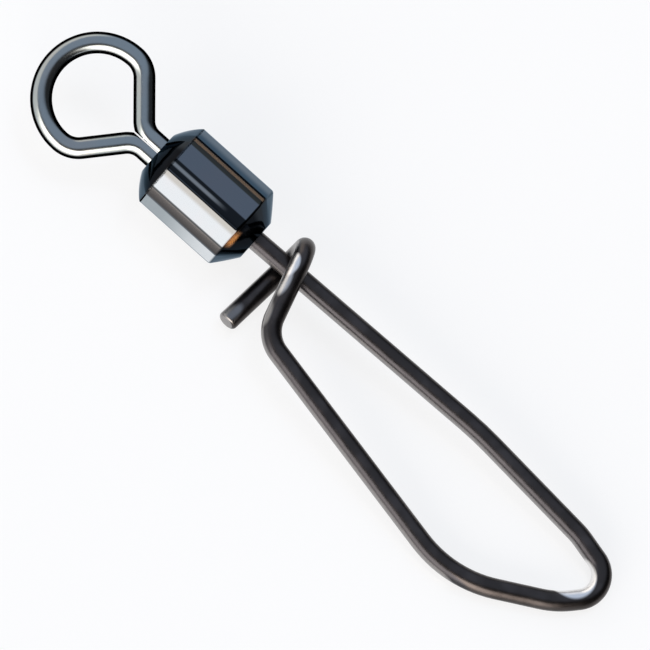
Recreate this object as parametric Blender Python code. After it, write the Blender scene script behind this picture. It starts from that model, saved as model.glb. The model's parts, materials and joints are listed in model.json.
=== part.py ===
"""Fishing snap swivel: a rolled barrel that two wires turn in, lying on a table.

The barrel is a short drawn tube with eight pressed flats and both ends rolled in.
The line eye is one wire, bent to a ring, whose two flattened legs leave the ring side
by side and run through the barrel's end to a split head inside. The hook snap is one wire
too: from its head in the barrel it runs out as a long leg, round the nose, back as the
return leg, across the front of the long leg, round it and behind it, and ends in a
finger tail. Each wire's head is larger than the hole that it came in by, so both turn
freely about the barrel's axis and neither pulls out.

Every piece is drawn in one swivel frame: x along the barrel's axis from its middle
towards the snap, z out of the front of the loop. An empty then lays that frame down as
the swivel comes to rest, on one of the barrel's flats and on the loop's front leg.
"""

import math

import bmesh
import bpy
from mathutils import Vector

MM = 0.001

# Wire
EYE_WIRE = 1.25 * MM
SNAP_WIRE = 1.19 * MM
WIRE_SIDES = 16
BEND_STEP = math.radians(9.0)
END_CHAMFER = 0.12 * MM

# Barrel
BARREL_DIAMETER = 5.5 * MM
BODY_LENGTH = 5.3 * MM
WALL = 0.5 * MM
FLATS = 8
FLAT_DEPTH = 0.095 * MM
FLAT_STEPS = 3
CORNER_STEPS = 3
EYE_END_DEPTH = 1.02 * MM
EYE_END_FACE = 2.76 * MM
EYE_END_CROWN = 0.08 * MM
SNAP_END_DEPTH = 1.11 * MM
SNAP_END_FACE = 2.6 * MM
SNAP_END_CROWN = 0.02 * MM
END_EDGE_RADIUS = 0.14 * MM
END_STEPS = 6
INNER_CORNER_SET = 0.2 * MM

# Running fits between each wire and the barrel
HOLE_CLEARANCE = 0.1 * MM
SEAT_CLEARANCE = 0.1 * MM
HEAD_SIDE_CLEARANCE = 0.1 * MM
HEAD_BEARING = 0.45 * MM
HEAD_TAPER = 0.2 * MM
HEAD_THICKNESS = 0.75 * MM

# Line eye
RING_RADIUS = 3.2 * MM
RING_SHOULDER_RADIUS = 1.6 * MM
EYE_LEG_ANGLE = math.radians(48.5)
STEM_BEND_RADIUS = 1.4 * MM
STEM_LENGTH = 0.75 * MM
STEM_WIDTH = 1.99 * MM
STEM_SPLIT = 0.08 * MM

# Hook snap: the loop
BOW_AT = 20.5 * MM
BOW_ANGLE = math.radians(1.0)
BOW_BEND_RADIUS = 20.0 * MM
RAMP_ANGLE = math.radians(4.2)
RAMP_END = 28.6 * MM
RAMP_BEND_RADIUS = 4.0 * MM
LEAD_ANGLE = math.radians(13.6)
SNAP_REACH = 31.96 * MM
NOSE_RADIUS = 1.5 * MM
NOSE_END_ANGLE = math.radians(49.0)
NOSE_END_REACH = 1.4 * MM
FRONT_BEND_RADIUS = 5.5 * MM
FRONT_LEG_ANGLE = math.radians(30.2)
HEEL_RADIUS = 7.2 * MM
RETURN_ANGLE = math.radians(11.1)
ELBOW_AT = 7.8 * MM
ELBOW_DROP = 3.96 * MM
ELBOW_RADIUS = 2.0 * MM
ELBOW_LIFT = 0.45 * MM

# Hook snap: the hook round the long leg, and its tail
HOOK_AT = 6.1 * MM
HOOK_GAP = 0.24 * MM
HOOK_SHIFT = 0.05 * MM
TAIL_DROP = 4.47 * MM
TAIL_SLANT = math.radians(4.4)
TAIL_SET_BACK = 1.05 * MM

# How the pieces are turned about the barrel's axis as they lie
EYE_ROLL = math.radians(22.5)


def barrel_radius():
    return BARREL_DIAMETER / 2


def leg_offset():
    """Distance of each eye leg's middle from the stem's, so that both fill the stem's width."""
    return (STEM_WIDTH - EYE_WIRE) / 2


def eye_hole_radius():
    return STEM_WIDTH / 2 + HOLE_CLEARANCE


def snap_hole_radius():
    return SNAP_WIRE / 2 + HOLE_CLEARANCE


def eye_face_x():
    return -(BODY_LENGTH / 2 + EYE_END_DEPTH)


def snap_face_x():
    return BODY_LENGTH / 2 + SNAP_END_DEPTH


def unit(angle):
    """The direction at this angle from x in the loop's plane."""
    return Vector((math.cos(angle), math.sin(angle), 0.0))


def crossing(start_a, angle_a, start_b, angle_b):
    """Where the line from start_a at angle_a meets the line from start_b at angle_b."""
    along_a, along_b = unit(angle_a), unit(angle_b)
    between = start_b - start_a
    scale = along_a.x * along_b.y - along_a.y * along_b.x
    reach = (between.x * along_b.y - between.y * along_b.x) / scale
    return start_a + along_a * reach


def bend_points(before, corner, after, radius):
    """Points along the arc of this radius that rounds one corner of a route."""
    arriving = (corner - before).normalized()
    leaving = (after - corner).normalized()
    turn = arriving.angle(leaving)
    reach = radius * math.tan(turn / 2)
    start = corner - arriving * reach
    inward = (leaving - arriving * math.cos(turn)).normalized()
    centre = start + inward * radius
    steps = max(2, math.ceil(turn / BEND_STEP))
    points = []
    for step in range(steps + 1):
        angle = turn * step / steps
        points.append(centre + (arriving * math.sin(angle) - inward * math.cos(angle)) * radius)
    return points


def rounded_route(corners):
    """Points along a bent wire, from its (corner, bend radius) list; its two ends have radius 0."""
    places = [place for place, _ in corners]
    points = [places[0]]
    for index in range(1, len(corners) - 1):
        radius = corners[index][1]
        points += bend_points(places[index - 1], places[index], places[index + 1], radius)
    return points + [places[-1]]


def tangents_of(points):
    """The wire's direction at each point: the mean of the stretches before and after it."""
    stretches = [(b - a).normalized() for a, b in zip(points, points[1:])]
    inner = [(a + b).normalized() for a, b in zip(stretches, stretches[1:])]
    return [stretches[0]] + inner + [stretches[-1]]


def sweep(mesh, stations, first_side, split=0.0):
    """Skins a wire through its stations.

    Each station is (middle of the section, the wire's direction there, its radius). The section's
    sides keep their place round the wire without twist, beginning at first_side. Where split is
    not zero, the section is flattened so that it stays that far to its own side of the plane y = 0.
    """
    side = first_side.copy()
    rings = []
    for middle, direction, radius in stations:
        side = (side - direction * side.dot(direction)).normalized()
        across = direction.cross(side)
        ring = []
        for index in range(WIRE_SIDES):
            angle = math.tau * (index + 0.5) / WIRE_SIDES
            place = middle + (side * math.cos(angle) + across * math.sin(angle)) * radius
            if split > 0.0:
                place.y = max(place.y, split)
            elif split < 0.0:
                place.y = min(place.y, split)
            ring.append(mesh.verts.new(place))
        rings.append(ring)
    for ring, following in zip(rings, rings[1:]):
        skin_between(mesh, ring, following)
    return rings


def skin_between(mesh, ring, following):
    """One band of faces between two closed rings of as many vertices."""
    count = len(ring)
    for index in range(count):
        beside = (index + 1) % count
        mesh.faces.new((ring[index], ring[beside], following[beside], following[index]))


def finish(name, mesh, material):
    """Makes the piece's object from its mesh, with the faces pointing out and round sides smooth."""
    bmesh.ops.recalc_face_normals(mesh, faces=mesh.faces)
    data = bpy.data.meshes.new(name)
    mesh.to_mesh(data)
    mesh.free()
    data.shade_smooth()
    data.set_sharp_from_angle(angle=math.radians(28.0))
    data.materials.append(material)
    piece = bpy.data.objects.new(name, data)
    bpy.context.scene.collection.objects.link(piece)
    return piece


def plated_metal(name, colour, roughness):
    """A material of bright plating in this colour."""
    material = bpy.data.materials.new(name)
    material.use_nodes = True
    shader = material.node_tree.nodes["Principled BSDF"]
    shader.inputs["Base Color"].default_value = (*colour, 1.0)
    shader.inputs["Metallic"].default_value = 1.0
    shader.inputs["Roughness"].default_value = roughness
    return material


def flat_half_angle():
    """Half the angle that one flat takes of the barrel's round."""
    return math.acos(1 - FLAT_DEPTH / barrel_radius())


def ring_angles():
    """Angles round the barrel of one section's points: the ends of each flat, and points between."""
    half = flat_half_angle()
    pitch = math.tau / FLATS
    angles = []
    for index in range(FLATS):
        middle = index * pitch - math.pi / 2
        for step in range(FLAT_STEPS + 1):
            angles.append(middle - half + 2 * half * step / FLAT_STEPS)
        for step in range(1, CORNER_STEPS):
            angles.append(middle + half + (pitch - 2 * half) * step / CORNER_STEPS)
    return angles


def flat_share(angle):
    """The section's radius at this angle as a share of its corners' radius."""
    pitch = math.tau / FLATS
    from_flat = (angle + math.pi / 2 + pitch / 2) % pitch - pitch / 2
    if abs(from_flat) >= flat_half_angle():
        return 1.0
    return math.cos(flat_half_angle()) / math.cos(from_flat)


def rolled_end(depth, face_diameter, crown):
    """(how far past the body, radius, share of the flats left) along one rolled end, body first."""
    face_radius = face_diameter / 2
    slope = math.atan2(depth - END_EDGE_RADIUS, barrel_radius() - face_radius)
    shell_end = Vector((depth - END_EDGE_RADIUS, face_radius + END_EDGE_RADIUS / 2))
    start = Vector((0.0, barrel_radius()))
    outward = Vector((math.cos(slope), math.sin(slope)))
    stations = []
    for step in range(END_STEPS + 1):
        along = step / END_STEPS
        place = start.lerp(shell_end, along) + outward * crown * 4 * along * (1 - along)
        stations.append((place.x, place.y, 1.0 - along))
    stations.append((depth, face_radius - END_EDGE_RADIUS / 2, 0.0))
    return stations


def barrel_mesh():
    """The tube: its outer skin with the flats, its rolled ends, its holes and the hollow inside."""
    half = BODY_LENGTH / 2
    outer = []
    for beyond, radius, share in reversed(rolled_end(EYE_END_DEPTH, EYE_END_FACE, EYE_END_CROWN)):
        outer.append((-half - beyond, radius, share))
    for beyond, radius, share in rolled_end(SNAP_END_DEPTH, SNAP_END_FACE, SNAP_END_CROWN):
        outer.append((half + beyond, radius, share))
    inner = [
        (snap_face_x(), snap_hole_radius()),
        (snap_face_x() - WALL, snap_hole_radius()),
        (snap_face_x() - WALL, snap_head_radius() + HEAD_SIDE_CLEARANCE),
        (half - INNER_CORNER_SET, barrel_radius() - WALL),
        (-half + INNER_CORNER_SET, barrel_radius() - WALL),
        (eye_face_x() + WALL, eye_head_radius() + HEAD_SIDE_CLEARANCE),
        (eye_face_x() + WALL, eye_hole_radius()),
        (eye_face_x(), eye_hole_radius()),
    ]
    mesh = bmesh.new()
    rings = []
    for x, radius, share in outer + [(x, radius, 0.0) for x, radius in inner]:
        ring = []
        for angle in ring_angles():
            reach = radius * (1 - share * (1 - flat_share(angle)))
            ring.append(mesh.verts.new((x, reach * math.cos(angle), reach * math.sin(angle))))
        rings.append(ring)
    for ring, following in zip(rings, rings[1:] + rings[:1]):
        skin_between(mesh, ring, following)
    return mesh


def eye_head_radius():
    return eye_hole_radius() + HEAD_BEARING


def snap_head_radius():
    return snap_hole_radius() + HEAD_BEARING


def head_stations(seat_x, inward, leg_middle, leg_radius, head_radius):
    """Sections of a wire's head from its inner end out to the plain wire in the hole.

    inward is the direction along the axis that leads into the barrel, and leg_middle the height
    of the wire's middle above the axis, which the head is round.
    """
    under = seat_x + inward * SEAT_CLEARANCE
    far = under + inward * (HEAD_TAPER + HEAD_THICKNESS)
    direction = Vector((-inward, 0.0, 0.0))
    sections = [
        (far, 0.0, head_radius - END_CHAMFER),
        (far - inward * END_CHAMFER, 0.0, head_radius),
        (under + inward * HEAD_TAPER, 0.0, head_radius),
        (under, leg_middle, leg_radius),
    ]
    stations = []
    for x, height, radius in sections:
        stations.append((Vector((x, height, 0.0)), direction, radius))
    return stations


def eye_route():
    """Points along the eye's wire, from the barrel's end out, round the ring and back."""
    turned = 1 - math.cos(EYE_LEG_ANGLE)
    rise = RING_RADIUS - leg_offset() - (RING_SHOULDER_RADIUS + STEM_BEND_RADIUS) * turned
    leg_length = rise / math.sin(EYE_LEG_ANGLE)
    stem_end = eye_face_x() - STEM_LENGTH
    leg_reach = leg_length * math.cos(EYE_LEG_ANGLE)
    bends_reach = (STEM_BEND_RADIUS + RING_SHOULDER_RADIUS) * math.sin(EYE_LEG_ANGLE)
    ring_x = stem_end - bends_reach - leg_reach
    bend_corner = stem_end - STEM_BEND_RADIUS * math.tan(EYE_LEG_ANGLE / 2)
    shoulder_corner = ring_x + RING_SHOULDER_RADIUS * math.tan(EYE_LEG_ANGLE / 2)
    start = Vector((eye_face_x(), leg_offset(), 0.0))
    out_of_stem = Vector((bend_corner, leg_offset(), 0.0))
    at_shoulder = Vector((shoulder_corner, RING_RADIUS, 0.0))
    ring_top = Vector((ring_x, RING_RADIUS, 0.0))
    upper = [start]
    upper += bend_points(start, out_of_stem, at_shoulder, STEM_BEND_RADIUS)
    upper += bend_points(out_of_stem, at_shoulder, ring_top, RING_SHOULDER_RADIUS)
    steps = math.ceil(math.pi / BEND_STEP)
    ring = []
    for step in range(1, steps):
        angle = math.pi / 2 + math.pi * step / steps
        ring.append(Vector((ring_x, 0.0, 0.0)) + unit(angle) * RING_RADIUS)
    lower = [Vector((point.x, -point.y, 0.0)) for point in reversed(upper)]
    return upper, ring, lower


def line_eye_mesh():
    """The eye's one wire: half a head, a leg, the ring, a leg and the other half of the head."""
    upper, ring, lower = eye_route()
    route = upper + ring + lower
    directions = tangents_of(route)
    stations = [(place, along, EYE_WIRE / 2) for place, along in zip(route, directions)]
    seat_x = eye_face_x() + WALL
    head = head_stations(seat_x, 1.0, leg_offset(), EYE_WIRE / 2, eye_head_radius())
    far_head = [
        (Vector((middle.x, -middle.y, 0.0)), -along, radius)
        for middle, along, radius in reversed(head)
    ]
    half_way = len(upper) + len(ring) // 2
    near_half = head + stations[:half_way]
    far_half = stations[half_way:] + far_head
    mesh = bmesh.new()
    side = Vector((0.0, 1.0, 0.0))
    near = sweep(mesh, near_half, side, STEM_SPLIT / 2)
    far = sweep(mesh, far_half, side_after(near_half, side), -STEM_SPLIT / 2)
    skin_between(mesh, near[-1], far[0])
    mesh.faces.new(near[0])
    mesh.faces.new(far[-1])
    return mesh


def side_after(stations, side):
    """Where the section's first side has come to at the end of these stations."""
    for _, direction, _ in stations:
        side = (side - direction * side.dot(direction)).normalized()
    return side


def loop_points():
    """The corners of the loop's centre line that the hook, the resting pose and the wire share."""
    origin = Vector((0.0, 0.0, 0.0))
    bow = crossing(origin, BOW_ANGLE, Vector((BOW_AT, 0.0, 0.0)), math.pi / 2)
    ramp_end = crossing(bow, -RAMP_ANGLE, Vector((RAMP_END, 0.0, 0.0)), math.pi / 2)
    nose_x = SNAP_REACH - SNAP_WIRE / 2 - NOSE_RADIUS
    above_nose = crossing(ramp_end, -LEAD_ANGLE, Vector((nose_x, 0.0, 0.0)), math.pi / 2)
    nose = above_nose - Vector((0.0, NOSE_RADIUS / math.cos(LEAD_ANGLE), 0.0))
    leaving = math.pi + NOSE_END_ANGLE
    nose_end = nose + unit(leaving + math.pi / 2) * NOSE_RADIUS
    nose_corner = crossing(ramp_end, -LEAD_ANGLE, nose_end, leaving)
    front_bend = nose_end + unit(leaving) * NOSE_END_REACH
    elbow = Vector((ELBOW_AT, -ELBOW_DROP, 0.0))
    heel = crossing(front_bend, math.pi + FRONT_LEG_ANGLE, elbow, -RETURN_ANGLE)
    return bow, ramp_end, nose_corner, front_bend, heel, elbow


def front_leg_ends():
    """The two ends of the loop's straight front leg, which lies on the table."""
    _, _, _, front_bend, heel, _ = loop_points()
    along = unit(FRONT_LEG_ANGLE)
    half_front_turn = (NOSE_END_ANGLE - FRONT_LEG_ANGLE) / 2
    half_heel_turn = (FRONT_LEG_ANGLE + RETURN_ANGLE) / 2
    nose_end = front_bend - along * FRONT_BEND_RADIUS * math.tan(half_front_turn)
    heel_end = heel + along * HEEL_RADIUS * math.tan(half_heel_turn)
    return nose_end, heel_end


def tangent_slope(place, centre_y, radius, front):
    """Rise of z for each y of the line from place that just touches the circle round the long leg.

    The circle lies across the leg, with its middle at centre_y in the loop's plane. front chooses
    the side in front of the leg; otherwise the line passes behind it.
    """
    towards = Vector((centre_y - place.y, -place.z))
    aside = math.asin(radius / towards.length)
    return math.tan(math.atan2(towards.y, towards.x) + (aside if front else -aside))


def snap_corners():
    """(corner, bend radius) along the snap's wire from its head to the tail's end."""
    bow, ramp_end, nose_corner, front_bend, heel, elbow = loop_points()
    elbow.z = ELBOW_LIFT
    hook_radius = SNAP_WIRE + HOOK_GAP
    leg_height = HOOK_AT * math.tan(BOW_ANGLE)
    top = leg_height + hook_radius
    tail_x = HOOK_AT - HOOK_SHIFT / 2 - (top + TAIL_DROP) * math.tan(TAIL_SLANT)
    tail_end = Vector((tail_x, -TAIL_DROP, -TAIL_SET_BACK))
    front_rise = tangent_slope(elbow, leg_height, hook_radius, True)
    back_rise = tangent_slope(tail_end, leg_height, hook_radius, False)
    front_top = Vector((HOOK_AT + HOOK_SHIFT / 2, top, elbow.z + (top - elbow.y) * front_rise))
    back_top = Vector((HOOK_AT - HOOK_SHIFT / 2, top, tail_end.z + (top - tail_end.y) * back_rise))
    return [
        (Vector((snap_face_x() - WALL, 0.0, 0.0)), 0.0),
        (bow, BOW_BEND_RADIUS),
        (ramp_end, RAMP_BEND_RADIUS),
        (nose_corner, NOSE_RADIUS),
        (front_bend, FRONT_BEND_RADIUS),
        (heel, HEEL_RADIUS),
        (elbow, ELBOW_RADIUS),
        (front_top, hook_radius),
        (back_top, hook_radius),
        (tail_end, 0.0),
    ]


def hook_snap_mesh():
    """The snap's one wire, from its head in the barrel to the tail's chamfered end."""
    route = rounded_route(snap_corners())
    directions = tangents_of(route)
    stations = [(place, along, SNAP_WIRE / 2) for place, along in zip(route, directions)]
    seat_x = snap_face_x() - WALL
    head = head_stations(seat_x, -1.0, 0.0, SNAP_WIRE / 2, snap_head_radius())
    last, along, _ = stations[-1]
    stations[-1] = (last - along * END_CHAMFER, along, SNAP_WIRE / 2)
    stations.append((last, along, SNAP_WIRE / 2 - END_CHAMFER))
    mesh = bmesh.new()
    rings = sweep(mesh, head + stations, Vector((0.0, 0.0, 1.0)))
    mesh.faces.new(rings[0])
    mesh.faces.new(rings[-1])
    return mesh


def resting_pose():
    """(height of the barrel's middle, its tilt, the loop's roll) of the swivel as it lies.

    The heavy loop tips the swivel over the end edge of the barrel's lowest flat and falls
    about the axis until its straight front leg lies on the table along its whole length.
    """
    flat = barrel_radius() - FLAT_DEPTH
    edge = BODY_LENGTH / 2
    nose_end, heel_end = front_leg_ends()
    cosine = 1.0
    for _ in range(8):
        drop = SNAP_WIRE / 2 / cosine - flat
        scale = (edge - nose_end.x) * heel_end.y - (edge - heel_end.x) * nose_end.y
        tangent = drop * (heel_end.y - nose_end.y) / scale
        sine = (drop - (edge - nose_end.x) * tangent) / nose_end.y
        cosine = math.cos(math.atan(tangent))
    tilt = math.atan(tangent)
    height = flat * math.cos(tilt) + edge * math.sin(tilt)
    return height, tilt, math.asin(sine)


def bottom_centre(pieces):
    """The middle of the underside of the box that holds these pieces."""
    places = [piece.matrix_world @ vertex.co for piece in pieces for vertex in piece.data.vertices]
    low = Vector([min(place[axis] for place in places) for axis in range(3)])
    high = Vector([max(place[axis] for place in places) for axis in range(3)])
    return Vector(((low.x + high.x) / 2, (low.y + high.y) / 2, low.z))


def main():
    for old in list(bpy.data.objects):
        bpy.data.objects.remove(old)
    height, tilt, loop_roll = resting_pose()
    axis = bpy.data.objects.new("swivel_axis", None)
    bpy.context.scene.collection.objects.link(axis)
    axis.location = (0.0, 0.0, height)
    axis.rotation_euler = (0.0, tilt, 0.0)
    bright = plated_metal("black_nickel", (0.19, 0.205, 0.23), 0.16)
    soft = plated_metal("black_nickel_soft", (0.1, 0.1, 0.11), 0.3)
    pieces = [
        (finish("barrel", barrel_mesh(), bright), 0.0),
        (finish("line_eye", line_eye_mesh(), bright), EYE_ROLL),
        (finish("hook_snap", hook_snap_mesh(), soft), loop_roll),
    ]
    for piece, roll in pieces:
        piece.parent = axis
        piece.rotation_euler = (roll, 0.0, 0.0)
    bpy.context.view_layer.update()
    axis.location -= bottom_centre([piece for piece, _ in pieces])
    bpy.context.view_layer.update()


main()
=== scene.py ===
"""The fishing snap swivel as it looks: three finely formed pieces, their plating, and the studio.

Each piece is formed in the swivel's own frame, x along the barrel's axis from its middle towards
the snap and z out of the front of the loop, and is then laid down where the frame's solid of the
same name lies.
"""

import json
import logging
import math
from collections.abc import Callable
from dataclasses import dataclass, field
from enum import Enum

import bmesh
import bpy
import numpy as np
from mathutils import Matrix, Vector


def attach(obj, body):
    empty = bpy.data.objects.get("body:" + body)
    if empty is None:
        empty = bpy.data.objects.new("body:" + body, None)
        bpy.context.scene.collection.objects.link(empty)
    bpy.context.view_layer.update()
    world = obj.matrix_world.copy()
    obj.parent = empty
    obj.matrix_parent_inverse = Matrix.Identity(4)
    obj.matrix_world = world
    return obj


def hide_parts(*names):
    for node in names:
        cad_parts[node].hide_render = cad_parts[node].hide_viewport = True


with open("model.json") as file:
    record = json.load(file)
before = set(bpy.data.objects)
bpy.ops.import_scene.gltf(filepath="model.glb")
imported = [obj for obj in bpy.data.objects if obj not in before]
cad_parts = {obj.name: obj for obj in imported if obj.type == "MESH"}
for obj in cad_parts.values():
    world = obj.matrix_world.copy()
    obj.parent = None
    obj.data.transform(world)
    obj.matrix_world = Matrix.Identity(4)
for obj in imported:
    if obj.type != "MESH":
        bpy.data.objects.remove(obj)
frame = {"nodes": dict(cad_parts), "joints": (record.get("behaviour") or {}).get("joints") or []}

log = logging.getLogger("swivel")

MM = 0.001

# Points closer than this are one point, and faces that meet at less than this angle look smooth
MERGE_WITHIN = 1e-7
SMOOTH_BELOW = math.radians(35.0)

# The attribute that says how far a place on the snap faces the side that is painted lighter, a
# painted reflection of the pale floor
SHEEN_SIDE = "sheen_side"

# The photograph: its width in pixels, and the real size of one, by the swivel's length in both
PHOTO_PIXELS = 650
SWIVEL_PIXELS = 776.0
SWIVEL_LENGTH = 44.0 * MM
PIXEL = SWIVEL_LENGTH / SWIVEL_PIXELS

# A full turn, for the angles that materials take in degrees
FULL_TURN = 360.0

Colour = tuple[float, float, float]
Direction = tuple[float, float, float]
Fade = tuple[float, float]
Stops = tuple[tuple[float, float], ...]
Output = bpy.types.NodeSocket
Feed = Output | float | Colour | Vector

BLACK: Colour = (0.0, 0.0, 0.0)


class End(Enum):
    """The barrel's two ends, by the wire that leaves there and the way it leaves along x."""

    EYE = -1.0
    SNAP = 1.0


@dataclass(frozen=True)
class Corner:
    """A corner of a bent wire's centre line, or of a turned outline."""

    place: Vector
    radius: float = 0.0


def unit(angle: float) -> Vector:
    """Gives the direction at an angle from x in the loop's plane.

    Args:
        angle: The angle from x towards y, in radians.

    Returns:
        The direction, of length 1.
    """
    return Vector((math.cos(angle), math.sin(angle), 0.0))


def point(x: float, y: float = 0.0) -> Vector:
    """Gives a point of the plane z = 0."""
    return Vector((x, y, 0.0))


def crossing(start_a: Vector, angle_a: float, start_b: Vector, angle_b: float) -> Vector:
    """Finds where two lines in the loop's plane meet.

    Args:
        start_a: A point on the first line.
        angle_a: The first line's angle from x, in radians.
        start_b: A point on the second line.
        angle_b: The second line's angle from x, in radians.

    Returns:
        The point that lies on both.
    """
    along_a, along_b = unit(angle_a), unit(angle_b)
    between = start_b - start_a
    scale = along_a.x * along_b.y - along_a.y * along_b.x
    reach = (between.x * along_b.y - between.y * along_b.x) / scale
    return start_a + along_a * reach


@dataclass(frozen=True)
class Turn:
    """One bend between two straight stretches: where it starts and how it turns."""

    start: Vector
    centre: Vector
    axis: Vector
    angle: float

    @classmethod
    def at(cls, before: Vector, corner: Corner, after: Vector) -> "Turn":
        """Works out the bend that rounds a corner.

        Args:
            before: The corner or end before this one.
            corner: The corner and its bend radius.
            after: The corner or end after this one.

        Returns:
            The bend.
        """
        arriving = (corner.place - before).normalized()
        leaving = (after - corner.place).normalized()
        angle = arriving.angle(leaving)
        start = corner.place - arriving * corner.radius * math.tan(angle / 2)
        inward = (leaving - arriving * math.cos(angle)).normalized()
        centre = start + inward * corner.radius
        return cls(start, centre, arriving.cross(leaving).normalized(), angle)

    def place(self, share: float) -> Vector:
        """Gives the point at this share of the way round the bend."""
        turned = Matrix.Rotation(self.angle * share, 3, self.axis)
        return self.centre + turned @ (self.start - self.centre)

    @property
    def end(self) -> Vector:
        """The point where the next straight stretch starts."""
        return self.place(1.0)


class Bench:
    """A piece in the making: a mesh in edit mode whose selected end is pushed, bent and sized."""

    bend_step = math.radians(3.0)
    least_steps = 2
    same_place = 1e-8

    def __init__(self, name: str, sides: int, radius: float, place: Vector) -> None:
        """Adds a disc that faces along x.

        Args:
            name: The piece's name.
            sides: How many sides the disc has.
            radius: The disc's radius.
            place: The disc's middle.
        """
        bpy.ops.object.select_all(action="DESELECT")
        bpy.ops.mesh.primitive_circle_add(
            vertices=sides,
            radius=radius,
            fill_type="NGON",
            location=place,
            rotation=(0.0, math.pi / 2, 0.0),
        )
        self.piece = bpy.context.object
        self.piece.name = name
        self.piece.data.name = name
        bpy.ops.object.transform_apply(location=True, rotation=True, scale=True)
        bpy.ops.object.mode_set(mode="EDIT")
        bpy.ops.mesh.select_mode(type="VERT")
        bpy.ops.mesh.select_all(action="SELECT")
        self.place = place.copy()

    def reach(self) -> float:
        """Gives how far the selected end reaches from the x axis."""
        verts = bmesh.from_edit_mesh(self.piece.data).verts
        return max(math.hypot(vertex.co.y, vertex.co.z) for vertex in verts if vertex.select)

    def select(self, test: Callable[[Vector], bool]) -> None:
        """Selects the vertices whose place passes a test, and what lies between them.

        Args:
            test: Says of a place whether it belongs.
        """
        bpy.ops.mesh.select_all(action="DESELECT")
        mesh = bmesh.from_edit_mesh(self.piece.data)
        for vertex in mesh.verts:
            if test(vertex.co):
                vertex.select = True
        mesh.select_flush(True)
        bmesh.update_edit_mesh(self.piece.data)

    def push(self, to: Vector) -> None:
        """Extrudes the selected end along a straight line to a new place."""
        bpy.ops.mesh.extrude_region_move(TRANSFORM_OT_translate={"value": to - self.place})
        self.place = to.copy()

    def bend(self, turn: Turn) -> None:
        """Spins the selected end round a bend.

        Args:
            turn: The bend.
        """
        steps = max(self.least_steps, math.ceil(turn.angle / self.bend_step))
        bpy.ops.mesh.spin(
            steps=steps,
            angle=-turn.angle,
            center=turn.centre,
            axis=turn.axis,
            dupli=False,
            use_auto_merge=False,
        )
        self.place = turn.end

    def follow(self, start: Vector, corners: list[Corner], end: Vector) -> None:
        """Pushes and bends the selected end along a whole route.

        Args:
            start: Where the route's first straight stretch begins.
            corners: The route's corners.
            end: Where the route ends.
        """
        places = [start] + [corner.place for corner in corners] + [end]
        for index, corner in enumerate(corners):
            turn = Turn.at(places[index], corner, places[index + 2])
            if (turn.start - self.place).length > self.same_place:
                self.push(turn.start)
            self.bend(turn)
        if (end - self.place).length > self.same_place:
            self.push(end)

    def size(self, factor: float) -> None:
        """Scales the selected end about its middle, across x."""
        bpy.ops.transform.resize(value=(1.0, factor, factor), center_override=self.place)

    def mirror(self) -> None:
        """Adds the mesh's mirror image across the plane y = 0."""
        bpy.ops.object.mode_set(mode="OBJECT")
        bpy.ops.object.modifier_add(type="MIRROR")
        modifier = self.piece.modifiers[-1]
        modifier.use_axis = (False, True, False)
        modifier.merge_threshold = MERGE_WITHIN
        bpy.ops.object.modifier_apply(modifier=modifier.name)
        bpy.ops.object.mode_set(mode="EDIT")

    def close(self) -> bpy.types.Object:
        """Merges doubles, turns the faces outwards, leaves edit mode and smooths the faces.

        Returns:
            The piece.
        """
        bpy.ops.mesh.select_all(action="SELECT")
        bpy.ops.mesh.remove_doubles(threshold=MERGE_WITHIN)
        bpy.ops.mesh.normals_make_consistent(inside=False)
        bpy.ops.object.mode_set(mode="OBJECT")
        bpy.ops.object.shade_smooth_by_angle(angle=SMOOTH_BELOW)
        return self.piece


class Swivel:
    """Where the swivel lies, as the frame's joints say."""

    # Past this distance from the barrel's middle each wire form lies in one plane
    flat_form_beyond = 9.0 * MM

    @staticmethod
    def laid() -> Matrix:
        """Gives the matrix that lays the swivel's own frame down on the table.

        Returns:
            The matrix.
        """
        joint = frame["joints"][0]
        along = Vector(joint["axis"]).normalized()
        across = Vector((0.0, 1.0, 0.0))
        turned = Matrix((along, across, along.cross(across))).transposed().to_4x4()
        return Matrix.Translation(Vector(joint["pos_m"])) @ turned

    @staticmethod
    def roll(node: str) -> float:
        """Finds how far a flat wire form is rolled about the barrel's axis as its solid lies.

        Args:
            node: The name of the frame's solid.

        Returns:
            The angle of its plane from the swivel's own y, in radians.
        """
        solid = frame["nodes"][node]
        unlaid = Swivel.laid().inverted()
        places = np.array([unlaid @ vertex.co for vertex in solid.data.vertices])
        outer = places[np.abs(places[:, 0]) > Swivel.flat_form_beyond]
        _, directions = np.linalg.eigh(np.cov(outer.T))
        across = directions[:, 0] * np.sign(directions[2, 0])
        return math.atan2(-across[1], across[2])


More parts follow.
